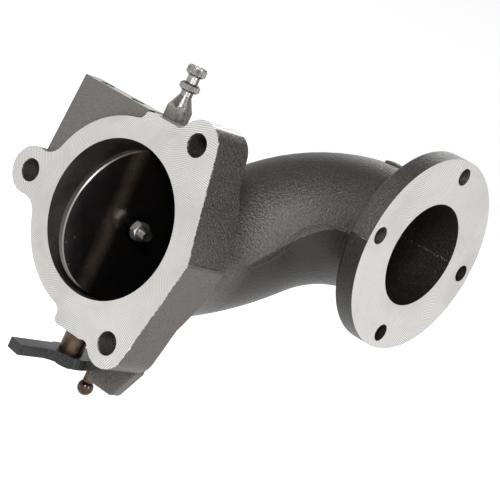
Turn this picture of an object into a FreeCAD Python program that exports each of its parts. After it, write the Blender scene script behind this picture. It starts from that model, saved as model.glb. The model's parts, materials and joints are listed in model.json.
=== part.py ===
import FreeCAD, Part
import math
import os
import re
from FreeCAD import Placement, Rotation, Vector

# Exhaust brake: a one-piece cast housing with a three-lug valve flange, a shallow valve chamber,
# a gooseneck outlet elbow and a round four-hole pipe flange. A butterfly on an upright shaft
# throttles the chamber and is turned by a lever under the housing.
# Origin: centre of the valve bore on its machined face. The flange looks along -Y, the pipe
# flange along +X and the shaft stands along +Z. Millimetres.

DRIVING_SIZES = {
    # valve flange and chamber
    "valve_bore_radius": 45.0,
    "ring_radius": 57.5,
    "valve_bolt_circle": 136.0,
    "valve_bolt_hole_radius": 6.75,
    "lug_radius": 14.0,
    "flange_depth": 28.5,
    "wall_corner_x": 61.5,
    "wall_corner_radius": 3.0,
    "chamber_depth": 29.7,
    "throat_end_y": 66.0,
    "throat_end_inset": 3.75,
    "chamber_shell_radius": 69.5,
    "chamber_shell_overlap": 3.0,
    "chamber_shell_rise": 3.0,
    "chamber_shell_length": 36.5,
    "chamber_shell_end_inset": 10.8,
    "wall_edge_radius": 1.5,
    "top_flat_rise": 5.1,
    "bottom_flat_rise": 8.2,
    "boss_flat_left": 7.0,
    "boss_flat_right": 15.0,
    "boss_corner_radius": 3.0,
    "lug_blend_radius": 12.0,
    "boss_blend_radius": 5.0,
    # outlet elbow and pipe flange
    "pipe_bore_radius": 31.75,
    "pipe_wall": 7.1,
    "elbow_drop": 11.8,
    "first_bend_y": 80.7,
    "outlet_y": 139.1,
    "outlet_z": 48.4,
    "second_bend_x": 31.5,
    "outlet_face_x": 106.0,
    "pipe_flange_radius": 59.5,
    "pipe_flange_thickness": 13.5,
    "pipe_bolt_circle": 100.5,
    "pipe_bolt_hole_radius": 5.25,
    "pipe_bolt_angle": 84.6,
    "pipe_flange_blend": 8.0,
    "pipe_flange_edge_radius": 2.5,
    # actuator pad on top and lever stop below
    "pad_left_top": 61.8,
    "pad_left_foot": 66.0,
    "pad_foot_height": 12.0,
    "pad_step": 0.4,
    "pad_gap": 1.0,
    "pad_edge_radius": 1.5,
    "pad_setback": 2.5,
    "pad_depth": 13.0,
    "pad_hole_radius": 4.25,
    "pad_hole_spacing": 25.0,
    "pad_hole_x": 36.0,
    "pad_hole_depth": 18.0,
    "shaft_boss_radius": 12.6,
    "stop_left": 11.6,
    "stop_front": 25.2,
    "stop_depth": 8.0,
    "stop_bottom": 90.5,
    "stop_right": 31.5,
    "stop_slope_x": 41.0,
    "stop_slope_z": 72.0,
    "stop_corner_radius": 4.0,
    "stop_edge_radius": 1.2,
    # shaft, bushes and seal
    "shaft_y": 16.2,
    "shaft_radius": 7.0,
    "journal_radius": 6.0,
    "running_clearance": 0.04,
    "upper_bush_wall": 2.0,
    "lower_bush_wall": 2.5,
    "bush_setback": 2.6,
    "fitting_gap": 0.9,
    "shaft_top_gap": 0.6,
    "thrust_washer_thickness": 2.0,
    "thrust_clearance": 0.1,
    "thrust_washer_land": 0.6,
    "shaft_chamfer": 0.8,
    "spot_face_depth": 1.4,
    "seal_length": 3.6,
    "seal_cap_thickness": 1.2,
    "seal_cap_recess": 1.3,
    "seal_cap_clearance": 0.35,
    # butterfly
    "disc_radius": 44.3,
    "disc_thickness": 4.5,
    "disc_front_offset": 3.6,
    "disc_open_angle": 80.0,
    "disc_edge_chamfer": 0.8,
    "disc_seat_clearance": 0.4,
    "disc_bolt_radius": 3.0,
    "disc_bolt_clearance": 0.1,
    "disc_nut_flats": 10.0,
    "disc_nut_height": 5.0,
    "disc_bolt_head_height": 4.0,
    "disc_bolt_proud": 5.5,
    "disc_washer_radius": 6.0,
    "disc_washer_thickness": 3.0,
    "lock_washer_radius": 5.2,
    "lock_washer_thickness": 2.4,
    "lock_washer_slot": 1.0,
    "dowel_radius": 2.0,
    "dowel_length": 6.0,
    "dowel_reach": 2.5,
    "dowel_spacing": 50.0,
    # lever and ball stud
    "lever_top": 79.5,
    "lever_thickness": 6.0,
    "lever_hub_radius": 12.0,
    "lever_arm_left": 10.6,
    "lever_arm_right": 0.3,
    "lever_arm_reach": 40.5,
    "lever_arm_slant": 2.3,
    "lever_arm_blend": 14.0,
    "rear_arm_reach": 25.5,
    "rear_arm_radius": 7.0,
    "lever_flat_depth": 1.5,
    "ring_gap": 0.1,
    "ring_thickness": 1.0,
    "ring_outer_radius": 9.5,
    "ring_mouth_width": 8.4,
    "ring_groove_depth": 0.9,
    "shaft_tail": 1.3,
    "ball_radius": 4.75,
    "ball_drop": 14.5,
    "stud_neck_radius": 3.25,
    "stud_collar_radius": 5.0,
    "stud_collar_thickness": 2.0,
    "stud_thread_radius": 3.0,
    "stud_nut_flats": 10.0,
    "stud_nut_height": 5.0,
    "stud_washer_radius": 6.0,
    "stud_washer_thickness": 1.2,
    "stud_washer_clearance": 0.1,
    "stud_chamfer": 0.5,
    "stud_proud": 1.5,
    # lubricator on the upper boss
    "fitting_across_flats": 12.8,
    "fitting_turn": -10.7,
    "fitting_hex_height": 6.9,
    "fitting_cone_top": 14.7,
    "fitting_neck_radius": 3.5,
    "fitting_collar_radius": 5.5,
    "fitting_collar_bottom": 17.6,
    "fitting_collar_top": 22.4,
    "fitting_collar_bevel": 1.0,
    "fitting_thread_radius": 4.8,
    "fitting_thread_length": 5.6,
    "fitting_passage_radius": 1.2,
    "cap_bottom": 26.6,
    "cap_top": 32.0,
    "cap_radius": 5.3,
    "cap_bevel": 0.9,
    "cap_rim_depth": 0.5,
    "cap_rim_width": 0.9,
    "cap_roof": 2.0,
    "stem_radius": 2.5,
    "stem_end_gap": 0.3,
}

# A press fit and a screw thread are drawn this much smaller than their hole.
FIT_GAP = 0.02
# A cutting tool runs this far past the metal that it cuts.
OVERRUN = 5.0

doc = FreeCAD.newDocument("exhaust_brake")
sheet = doc.addObject("Spreadsheet::Sheet", "Sizes")
for row, (alias, number) in enumerate(DRIVING_SIZES.items(), start=1):
    sheet.set(f"A{row}", alias)
    sheet.set(f"B{row}", str(number))
    sheet.setAlias(f"B{row}", alias)
doc.recompute()
scratch = doc.addObject("Spreadsheet::Sheet", "Scratch")

SUB_PARTS = []
ALIAS_WORD = re.compile(r"\b(" + "|".join(DRIVING_SIZES) + r")\b")


def size(alias):
    """A driving size, read from the sheet."""
    return float(sheet.get(alias))


def value(formula):
    """The number that a formula of driving sizes comes to."""
    scratch.set("A1", "=" + ALIAS_WORD.sub(r"Sizes.\1", formula))
    scratch.recompute()
    return float(scratch.get("A1"))


def bind(item, prop, formula):
    """Tie one property of an object to a formula of driving sizes."""
    item.setExpression(prop, ALIAS_WORD.sub(r"Sizes.\1", formula))


def place(item, x="0", y="0", z="0", turn=None):
    """Turn an object and tie its position to formulas."""
    if turn is not None:
        item.Placement = Placement(Vector(0, 0, 0), turn)
    bind(item, "Placement.Base.x", x)
    bind(item, "Placement.Base.y", y)
    bind(item, "Placement.Base.z", z)
    return item


ALONG_Y = Rotation(Vector(1, 0, 0), -90)
ALONG_X = Rotation(Vector(0, 1, 0), 90)
FRONT_PLANE = Rotation(Vector(1, 0, 0), 90)
LEVEL_PLANE = Rotation()
SHAFT_X = "0"
SHAFT_Y = "shaft_y"

BOSS_TOP = "ring_radius + top_flat_rise"
BOSS_DEPTH = "ring_radius + bottom_flat_rise"
PAD_TOP = f"{BOSS_TOP} + pad_step"
PIPE_RADIUS = "pipe_bore_radius + pipe_wall"
UPPER_BUSH_Z = "valve_bore_radius + bush_setback"
LOWER_BUSH_TOP = "-valve_bore_radius - bush_setback"
UPPER_BUSH_LENGTH = f"{BOSS_TOP} - fitting_thread_length - fitting_gap - ({UPPER_BUSH_Z})"
SEAL_CAP_Z = f"-({BOSS_DEPTH}) + seal_cap_recess"
SEAL_Z = f"{SEAL_CAP_Z} + seal_cap_thickness"
LOWER_BUSH_Z = f"{SEAL_Z} + seal_length"
WASHER_Z = f"{UPPER_BUSH_Z} - thrust_washer_thickness - thrust_clearance"
LEVER_Z = "-lever_top - lever_thickness"
STUD_Y = "shaft_y + rear_arm_reach"


def cylinder(name, radius, length, x="0", y="0", z="0", turn=None):
    item = doc.addObject("Part::Cylinder", name)
    bind(item, "Radius", radius)
    bind(item, "Height", length)
    return place(item, x, y, z, turn)


def cone(name, start_radius, end_radius, length, x="0", y="0", z="0", turn=None):
    item = doc.addObject("Part::Cone", name)
    bind(item, "Radius1", start_radius)
    bind(item, "Radius2", end_radius)
    bind(item, "Height", length)
    return place(item, x, y, z, turn)


def block(name, length, width, height, x="0", y="0", z="0"):
    item = doc.addObject("Part::Box", name)
    bind(item, "Length", length)
    bind(item, "Width", width)
    bind(item, "Height", height)
    return place(item, x, y, z)


def hexagon(name, across_flats, height, x="0", y="0", z="0", turn=None):
    item = doc.addObject("Part::Prism", name)
    item.Polygon = 6
    bind(item, "Circumradius", f"({across_flats}) / sqrt(3)")
    bind(item, "Height", height)
    return place(item, x, y, z, turn)


def fuse(name, pieces):
    item = doc.addObject("Part::MultiFuse", name)
    item.Shapes = pieces
    item.Refine = True
    return item


def cut(name, base, tool):
    item = doc.addObject("Part::Cut", name)
    item.Base = base
    item.Tool = tool
    item.Refine = True
    return item


def sketch_of(name, edges, plane, at=Vector(0, 0, 0)):
    """A free sketch in a turned plane through a point, filled with ready edges."""
    item = doc.addObject("Sketcher::SketchObject", name)
    item.Placement = Placement(at, plane)
    item.addGeometry(edges, False)
    return item


def circle_sketch(name, radius, at, along):
    """One circle about a point, square to a direction."""
    ring = Part.Circle(Vector(0, 0, 0), Vector(0, 0, 1), radius)
    return sketch_of(name, [ring], Rotation(Vector(0, 0, 1), along), at)


def loft(name, sections):
    """Straight-sided solid from one section to the next."""
    item = doc.addObject("Part::Loft", name)
    item.Sections = sections
    item.Solid = True
    item.Ruled = True
    return item


def round_edges(name, base, radius, chosen):
    """Round the edges of an object that a test picks out."""
    doc.recompute()
    item = doc.addObject("Part::Fillet", name)
    item.Base = base
    item.Edges = [
        (number, radius, radius)
        for number, edge in enumerate(base.Shape.Edges, start=1)
        if chosen(edge)
    ]
    return item


def extrude(name, profile, direction, length, x="0", y="0", z="0"):
    item = doc.addObject("Part::Extrusion", name)
    item.Base = profile
    item.DirMode = "Custom"
    item.Dir = direction
    item.Solid = True
    bind(item, "LengthFwd", length)
    return place(item, x, y, z)


def revolve(name, profile, x="0", y="0", z="0", turn=None):
    """Turn a profile drawn in the XZ plane about the Z axis, then set it in place."""
    item = doc.addObject("Part::Revolution", name)
    item.Source = profile
    item.Axis = Vector(0, 0, 1)
    item.Base = Vector(0, 0, 0)
    item.Angle = 360
    item.Solid = True
    return place(item, x, y, z, turn)


def unit(vector):
    return Vector(vector) / vector.Length


def closed_lines(points):
    """Straight edges through the points and back to the first."""
    return [Part.LineSegment(a, b) for a, b in zip(points, points[1:] + points[:1])]


def profile_lines(pairs):
    """Straight edges through (radius, height) pairs of a turned piece."""
    return closed_lines([Vector(radius, height, 0) for radius, height in pairs])


def rounded_polygon(corners):
    """Straight sides with an arc of its own radius at each (x, y, radius) corner."""
    arcs = []
    count = len(corners)
    for index, (x, y, radius) in enumerate(corners):
        here = Vector(x, y, 0)
        before = Vector(*corners[index - 1][:2], 0)
        after = Vector(*corners[(index + 1) % count][:2], 0)
        back = unit(before - here)
        ahead = unit(after - here)
        half = back.getAngle(ahead) / 2
        reach = radius / math.tan(half)
        middle = here + unit(back + ahead) * (radius / math.sin(half) - radius)
        arcs.append((here + back * reach, middle, here + ahead * reach))
    edges = []
    for index, (start, middle, end) in enumerate(arcs):
        edges.append(Part.Arc(start, middle, end))
        edges.append(Part.LineSegment(end, arcs[(index + 1) % count][0]))
    return edges


def tangent_line(first, second):
    """Ends of the outer tangent of two circles, on the left of the way round."""
    (centre_a, radius_a), (centre_b, radius_b) = first, second
    along = centre_b - centre_a
    distance = along.Length
    ahead = unit(along)
    left = Vector(-ahead.y, ahead.x, 0)
    cosine = (radius_a - radius_b) / distance
    side = ahead * cosine + left * math.sqrt(1 - cosine ** 2)
    return centre_a + side * radius_a, centre_b + side * radius_b


def hollow_blend(first, second, radius):
    """Ends and middle of a hollow arc that touches two circles from outside."""
    (centre_a, radius_a), (centre_b, radius_b) = first, second
    along = centre_b - centre_a
    distance = along.Length
    ahead = unit(along)
    left = Vector(-ahead.y, ahead.x, 0)
    reach_a = radius_a + radius
    reach_b = radius_b + radius
    forward = (distance ** 2 + reach_a ** 2 - reach_b ** 2) / (2 * distance)
    centre = centre_a + ahead * forward + left * math.sqrt(reach_a ** 2 - forward ** 2)
    start = centre_a + unit(centre - centre_a) * radius_a
    end = centre_b + unit(centre - centre_b) * radius_b
    middle = centre + unit((start - centre) + (end - centre)) * radius
    return start, middle, end


def outline_round(circles):
    """Clockwise outline of circles, each (x, y, radius, blend radius to the next or None)."""
    discs = [(Vector(x, y, 0), radius) for x, y, radius, blend in circles]
    joins = []
    for index, (x, y, radius, blend) in enumerate(circles):
        following = discs[(index + 1) % len(discs)]
        if blend is None:
            start, end = tangent_line(discs[index], following)
            joins.append((start, None, end))
        else:
            joins.append(hollow_blend(discs[index], following, blend))
    edges = []
    for index, (centre, radius) in enumerate(discs):
        arrival = joins[index - 1][2] - centre
        leaving = joins[index][0] - centre
        start_angle = math.atan2(arrival.y, arrival.x)
        swept = (start_angle - math.atan2(leaving.y, leaving.x)) % (2 * math.pi)
        half_way = start_angle - swept / 2
        middle = centre + Vector(math.cos(half_way), math.sin(half_way), 0) * radius
        edges.append(Part.Arc(centre + arrival, middle, centre + leaving))
        start, bend, end = joins[index]
        if bend is None:
            edges.append(Part.LineSegment(start, end))
        else:
            edges.append(Part.Arc(start, bend, end))
    return edges


def keep(item, label):
    """Mark an object as one finished sub-part."""
    item.Label = label
    SUB_PARTS.append(item)
    return item


VALVE_BOLT_ANGLES = (180, 60, -60)


def valve_bolt_places():
    """Centres of the three valve flange bolts, in the flange plane."""
    reach = size("valve_bolt_circle") / 2
    turns = [math.radians(angle) for angle in VALVE_BOLT_ANGLES]
    return [(reach * math.cos(turn), reach * math.sin(turn)) for turn in turns]


def flange_outline():
    """Outline of the three-lug flange with its flats for the shaft bosses."""
    (left_x, left_z), (lug_x, lug_z), _ = valve_bolt_places()
    lug = size("lug_radius")
    ring = size("ring_radius")
    corner = size("boss_corner_radius")
    wall = size("wall_corner_radius")
    blend = size("lug_blend_radius")
    small_blend = size("boss_blend_radius")
    top = value(BOSS_TOP) - corner
    bottom = corner - value(BOSS_DEPTH)
    left = corner - size("boss_flat_left")
    right = size("boss_flat_right")
    outline = [
        (left_x, left_z, lug, blend),
        (0, 0, ring, small_blend),
        (left, top, corner, None),
        (right, top, corner, small_blend),
        (lug_x, lug_z, lug, None),
        (size("wall_corner_x") - wall, 0, wall, None),
        (lug_x, -lug_z, lug, small_blend),
        (right, bottom, corner, None),
        (left, bottom, corner, small_blend),
        (0, 0, ring, blend),
    ]
    return outline_round(outline)


def flange_and_chamber():
    """The flange plate, rounded at the back, and the chamber that leans from it into the elbow."""
    plate_profile = sketch_of("valve_flange_outline", flange_outline(), FRONT_PLANE)
    plate = extrude("valve_flange_plate", plate_profile, Vector(0, 1, 0), "flange_depth")
    depth = size("flange_depth")

    def rear_edge(edge):
        return edge.BoundBox.YMin > depth - FIT_GAP

    rounded = round_edges("rounded_flange", plate, size("wall_edge_radius"), rear_edge)
    limit_profile = sketch_of("chamber_outline", flange_outline(), FRONT_PLANE)
    limit = extrude("chamber_limit", limit_profile, Vector(0, 1, 0), "flange_depth + chamber_shell_length")
    lean = cone("chamber_cone", "chamber_shell_radius", f"{PIPE_RADIUS} - chamber_shell_end_inset",
                "chamber_shell_length", y="flange_depth - chamber_shell_overlap", z="chamber_shell_rise",
                turn=ALONG_Y)
    shell = doc.addObject("Part::MultiCommon", "chamber_shell")
    shell.Shapes = [lean, limit]
    return [rounded, shell]


def actuator_pad():
    """The block whose machined top carries the actuator bracket."""
    top = value(PAD_TOP)
    right = -size("boss_flat_left") - size("pad_gap")
    corners = [
        (-size("pad_left_top"), top),
        (right, top),
        (right, size("pad_foot_height")),
        (-size("pad_left_foot"), size("pad_foot_height")),
    ]
    points = [Vector(x, z, 0) for x, z in corners]
    profile = sketch_of("pad_outline", closed_lines(points), FRONT_PLANE)
    pad = extrude("pad_block", profile, Vector(0, 1, 0), "pad_depth", y="pad_setback")

    def left_side(edge):
        box = edge.BoundBox
        return box.XMax < right - OVERRUN and box.YLength < FIT_GAP and box.ZLength > OVERRUN

    return round_edges("rounded_pad", pad, size("pad_edge_radius"), left_side)


def lever_stop():
    """The nose below the lower lug that the lever rests on when the valve is open."""
    left = size("stop_left")
    radius = size("stop_corner_radius")
    edge_radius = size("stop_edge_radius")
    root = -valve_bolt_places()[1][1]
    corners = [
        (left, root, edge_radius),
        (size("stop_slope_x"), root, edge_radius),
        (size("stop_slope_x"), -size("stop_slope_z"), radius),
        (size("stop_right"), -size("stop_bottom"), radius),
        (left, -size("stop_bottom"), edge_radius),
    ]
    profile = sketch_of("stop_outline", rounded_polygon(corners), FRONT_PLANE)
    stop = extrude("stop_block", profile, Vector(0, 1, 0), "stop_depth", y="stop_front")

    def rim(edge):
        return edge.BoundBox.YLength < FIT_GAP and edge.BoundBox.ZMax < root - radius

    return round_edges("rounded_stop", stop, edge_radius, rim)


def elbow_route():
    """The two bends of the gooseneck, each as corner, tangent points, centre and radius."""
    first = Vector(0, size("first_bend_y"), -size("elbow_drop"))
    second = Vector(size("second_bend_x"), size("outlet_y"), size("outlet_z"))
    across = unit(second - first)
    reach = (second - first).Length / 2
    joint = first + across * reach
    enter = first - Vector(0, reach, 0)
    leave = second + Vector(reach, 0, 0)
    bends = []
    for corner, start, end in ((first, enter, joint), (second, joint, leave)):
        half = (start - corner).getAngle(end - corner) / 2
        radius = reach * math.tan(half)
        centre = corner + unit((start - corner) + (end - corner)) * (radius / math.sin(half))
        bends.append((corner, start, end, centre, radius))
    return bends


def elbow_point(y):
    """Point of the elbow's middle line, in the first bend, at a distance behind the flange face."""
    _, start, _, centre, radius = elbow_route()[0]
    angle = math.asin((y - start.y) / radius)
    outward = unit(start - centre)
    return centre + (outward * math.cos(angle) + Vector(0, 1, 0) * math.sin(angle)) * radius


def bar_between(name, radius, start, end):
    """A round bar from one point to another."""
    item = doc.addObject("Part::Cylinder", name)
    bind(item, "Radius", radius)
    item.Height = (end - start).Length
    item.Placement = Placement(start, Rotation(Vector(0, 0, 1), end - start))
    return item


def elbow_bar(name, radius, overrun):
    """A round bar along the gooseneck, from inside the flange to past the pipe face."""
    bends = elbow_route()
    pieces = []
    for index, (corner, start, end, centre, bend_radius) in enumerate(bends):
        profile = circle_sketch(f"{name}_section_{index}", value(radius), start, corner - start)
        bend = doc.addObject("Part::Revolution", f"{name}_bend_{index}")
        bend.Source = profile
        bend.Base = centre
        bend.Axis = unit((start - centre).cross(end - centre))
        bend.Angle = math.degrees((start - centre).getAngle(end - centre))
        bend.Solid = True
        pieces.append(bend)
    enter = bends[0][1]
    leave = bends[1][2]
    root = Vector(enter.x, size("flange_depth") / 2, enter.z)
    outlet = Vector(size("outlet_face_x") + overrun, leave.y, leave.z)
    pieces.append(bar_between(f"{name}_root", radius, root, enter))
    pieces.append(bar_between(f"{name}_outlet", radius, leave, outlet))
    return pieces


def pipe_flange():
    """The round outlet flange, rounded at the back and blended into the elbow."""
    neck = value(PIPE_RADIUS)
    rim = size("pipe_flange_radius")
    thick = size("pipe_flange_thickness")
    blend = size("pipe_flange_blend")
    edge = size("pipe_flange_edge_radius")
    slant = math.sqrt(0.5)
    back = -thick
    points = {
        "neck": Vector(neck, back - blend, 0),
        "hollow": Vector(neck + blend * (1 - slant), back - blend * (1 - slant), 0),
        "back_in": Vector(neck + blend, back, 0),
        "back_out": Vector(rim - edge, back, 0),
        "edge": Vector(rim - edge * (1 - slant), back + edge * (1 - slant), 0),
        "rim": Vector(rim, back + edge, 0),
    }
    corners = [points["rim"], Vector(rim, 0, 0), Vector(0, 0, 0), Vector(0, back - blend, 0), points["neck"]]
    edges = [Part.LineSegment(a, b) for a, b in zip(corners, corners[1:])]
    edges.append(Part.Arc(points["neck"], points["hollow"], points["back_in"]))
    edges.append(Part.LineSegment(points["back_in"], points["back_out"]))
    edges.append(Part.Arc(points["back_out"], points["edge"], points["rim"]))
    profile = sketch_of("pipe_flange_profile", edges, FRONT_PLANE)
    return revolve("pipe_flange_disc", profile, x="outlet_face_x", y="outlet_y", z="outlet_z", turn=ALONG_X)


def shaft_bosses():
    """Round bosses for the upper and lower shaft bushes."""
    upper = cylinder("upper_boss", "shaft_boss_radius", f"{BOSS_TOP} - valve_bore_radius",
                     x=SHAFT_X, y=SHAFT_Y, z="valve_bore_radius")
    lower = cylinder("lower_boss", "shaft_boss_radius", f"{BOSS_DEPTH} - valve_bore_radius",
                     x=SHAFT_X, y=SHAFT_Y, z=f"-({BOSS_DEPTH})")
    return [upper, lower]


def valve_bolt_holes():
    length = f"stop_front + stop_depth + {2 * OVERRUN}"
    return [
        cylinder(f"valve_bolt_hole_{index}", "valve_bolt_hole_radius", length,
                 x=f"valve_bolt_circle / 2 * cos({angle} * 1deg)", y=f"-{OVERRUN}",
                 z=f"valve_bolt_circle / 2 * sin({angle} * 1deg)", turn=ALONG_Y)
        for index, angle in enumerate(VALVE_BOLT_ANGLES)
    ]


def pipe_bolt_holes():
    holes = []
    for index in range(4):
        angle = f"(pipe_bolt_angle + {90 * index}) * 1deg"
        hole = cylinder(f"pipe_bolt_hole_{index}", "pipe_bolt_hole_radius",
                        f"pipe_flange_thickness + pipe_flange_blend + {OVERRUN}",
                        x="outlet_face_x - pipe_flange_thickness - pipe_flange_blend",
                        y=f"outlet_y + pipe_bolt_circle / 2 * cos({angle})",
                        z=f"outlet_z + pipe_bolt_circle / 2 * sin({angle})", turn=ALONG_X)
        holes.append(hole)
    return holes


def pad_holes():
    """Two tapped holes for the actuator bracket, shown at drill size."""
    return [
        cylinder(f"pad_hole_{index}", "pad_hole_radius", f"pad_hole_depth + {OVERRUN}",
                 x=f"-pad_hole_x + {sign} * pad_hole_spacing / 2", y="pad_setback + pad_depth / 2",
                 z=f"{PAD_TOP} - pad_hole_depth")
        for index, sign in enumerate((-1, 1))
    ]


def shaft_bores():
    """Bush seats above and below, and the tapped hole of the lubricator."""
    upper = cylinder("upper_bush_seat", "journal_radius + upper_bush_wall",
                     f"bush_setback + {UPPER_BUSH_LENGTH} + shaft_top_gap + {OVERRUN}",
                     x=SHAFT_X, y=SHAFT_Y, z=f"valve_bore_radius - {OVERRUN}")
    lower = cylinder("lower_bush_seat", "shaft_radius + lower_bush_wall",
                     f"{BOSS_DEPTH} - valve_bore_radius + {2 * OVERRUN}",
                     x=SHAFT_X, y=SHAFT_Y, z=f"-({BOSS_DEPTH}) - {OVERRUN}")
    tapped = cylinder("fitting_hole", "fitting_thread_radius", f"fitting_thread_length + fitting_gap + {OVERRUN}",
                      x=SHAFT_X, y=SHAFT_Y, z=f"{BOSS_TOP} - fitting_thread_length - fitting_gap")
    return [upper, lower, tapped]


def passage():
    """The gas way: valve bore, leaning chamber and pipe bore."""
    bore = cylinder("valve_bore", "valve_bore_radius", f"chamber_depth + {OVERRUN}", y=f"-{OVERRUN}",
                    turn=ALONG_Y)
    mouth = circle_sketch("chamber_mouth", size("valve_bore_radius"), Vector(0, size("chamber_depth"), 0),
                          Vector(0, 1, 0))
    throat_radius = size("pipe_bore_radius") - size("throat_end_inset")
    throat_centre = elbow_point(size("throat_end_y"))
    throat = circle_sketch("chamber_throat", throat_radius, throat_centre, Vector(0, 1, 0))
    return [bore, loft("chamber_way", [mouth, throat])] + elbow_bar("pipe_bore", "pipe_bore_radius", OVERRUN)


def housing_casting():
    metal = flange_and_chamber() + [actuator_pad(), lever_stop(), pipe_flange()]
    metal += shaft_bosses() + elbow_bar("elbow_skin", PIPE_RADIUS, -size("pipe_flange_thickness"))
    rough = fuse("rough_casting", metal)
    tools = passage() + shaft_bores() + valve_bolt_holes() + pipe_bolt_holes() + pad_holes()
    removed = fuse("machined_away", tools)
    return keep(cut("housing", rough, removed), "housing_casting")


def tube(name, outer, inner, length, z):
    """A plain ring about the shaft axis."""
    skin = cylinder(f"{name}_skin", outer, length, x=SHAFT_X, y=SHAFT_Y, z=z)
    hole = cylinder(f"{name}_hole", inner, f"({length}) + 2", x=SHAFT_X, y=SHAFT_Y, z=f"({z}) - 1")
    return cut(f"{name}_ring", skin, hole)


def bushes_and_seal():
    keep(tube("upper_bush", "journal_radius + upper_bush_wall", "journal_radius + running_clearance",
              UPPER_BUSH_LENGTH, UPPER_BUSH_Z), "upper_bushing")
    keep(tube("lower_bush", "shaft_radius + lower_bush_wall", "shaft_radius + running_clearance",
              f"{LOWER_BUSH_TOP} - ({LOWER_BUSH_Z})", LOWER_BUSH_Z), "lower_bushing")
    keep(tube("lower_seal", "shaft_radius + lower_bush_wall", "shaft_radius + running_clearance",
              "seal_length", SEAL_Z), "shaft_seal_ring")
    keep(tube("seal_cap", "shaft_radius + lower_bush_wall", "shaft_radius + seal_cap_clearance",
              "seal_cap_thickness", SEAL_CAP_Z), "seal_retainer")


def face_frame():
    """Placement whose Z axis is the disc's front normal and whose origin is on the shaft axis."""
    angle = math.radians(size("disc_open_angle"))
    normal = Vector(math.sin(angle), -math.cos(angle), 0)
    chord = Vector(math.cos(angle), math.sin(angle), 0)
    turn = Rotation(chord, normal.cross(chord), normal, "ZXY")
    return Placement(Vector(0, size("shaft_y"), 0), turn)


def stand_on_face(item, offset):
    """Put an object, drawn along Z, at a height above the shaft axis along the disc normal."""
    frame = face_frame()
    base = frame.multVec(Vector(0, 0, offset))
    item.Placement = Placement(base, frame.Rotation)
    return item


def flat_cylinder(name, radius, length, offset, shift_z=0.0):
    """A cylinder along the disc normal, from the given height above the shaft axis."""
    item = doc.addObject("Part::Cylinder", name)
    bind(item, "Radius", radius)
    bind(item, "Height", length)
    stand_on_face(item, offset)
    item.Placement.Base = item.Placement.Base + Vector(0, 0, shift_z)
    return item


def spot_face_height():
    """Height of the spot face for the bolt head, behind the shaft axis."""
    return size("spot_face_depth") - size("shaft_radius")


def shaft_profile():
    """Half outline of the shaft, from the ring groove end up to the upper journal."""
    lever_bottom = value(LEVER_Z)
    ring_bottom = lever_bottom - size("ring_gap") - size("ring_thickness")
    bottom = ring_bottom - size("shaft_tail")
    groove_bottom = ring_bottom - size("ring_gap")
    shoulder = value(WASHER_Z)
    top = value(UPPER_BUSH_Z) + value(UPPER_BUSH_LENGTH)
    radius = size("shaft_radius")
    journal = size("journal_radius")
    groove = radius - size("ring_groove_depth")
    chamfer = size("shaft_chamfer")
    return [
        (0, bottom),
        (radius - chamfer, bottom),
        (radius, bottom + chamfer / 2),
        (radius, groove_bottom),
        (groove, groove_bottom),
        (groove, lever_bottom),
        (radius, lever_bottom),
        (radius, shoulder),
        (journal, shoulder),
        (journal, top - chamfer),
        (journal - chamfer, top),
        (0, top),
    ]


def valve_shaft():
    """Stepped shaft with a milled seat for the disc and two flats for the lever."""
    profile = sketch_of("shaft_profile", profile_lines(shaft_profile()), FRONT_PLANE)
    bar = revolve("shaft_bar", profile, x=SHAFT_X, y=SHAFT_Y)
    width = 4 * size("shaft_radius")
    half = size("disc_radius") + size("disc_seat_clearance")
    seat = doc.addObject("Part::Box", "disc_seat")
    bind(seat, "Length", "4 * shaft_radius")
    bind(seat, "Width", "2 * (disc_radius + disc_seat_clearance)")
    bind(seat, "Height", "2 * shaft_radius")
    corner = Vector(-width / 2, -half, size("disc_front_offset") - size("disc_thickness"))
    seat.Placement = face_frame().multiply(Placement(corner, Rotation()))
    bolt = flat_cylinder("shaft_bolt_hole", "disc_bolt_radius + disc_bolt_clearance", "4 * shaft_radius",
                         -2 * size("shaft_radius"))
    spot = flat_cylinder("shaft_spot_face", "disc_washer_radius", "2 * shaft_radius",
                         spot_face_height() - 2 * size("shaft_radius"))
    tools = [seat, bolt, spot] + lever_flats("shaft", 0.0) + dowel_holes("shaft")
    return keep(cut("shaft", bar, fuse("shaft_cuts", tools)), "valve_shaft")


def lever_flats(name, gap):
    """Two blocks that leave the double-D section of the shaft's lever seat."""
    height = f"lever_thickness + ring_gap + ring_thickness + shaft_tail + {OVERRUN}"
    blocks = []
    for side in (-1, 1):
        x = f"{side} * (shaft_radius - lever_flat_depth + {gap})"
        if side < 0:
            x += " - 2 * shaft_radius"
        blocks.append(block(f"{name}_flat_{side + 1}", "2 * shaft_radius", "4 * shaft_radius", height,
                            x=x, y="shaft_y - 2 * shaft_radius", z=f"-lever_top - ({height})"))
    return blocks


def dowel_holes(name):
    """Blind holes of the two locating dowels, in the joint face of shaft and disc."""
    base = size("disc_front_offset") - size("disc_thickness") - size("dowel_length") + size("dowel_reach")
    return [
        flat_cylinder(f"{name}_dowel_hole_{index}", "dowel_radius", "dowel_length", base,
                      shift_z=sign * size("dowel_spacing") / 2)
        for index, sign in enumerate((-1, 1))
    ]


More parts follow.
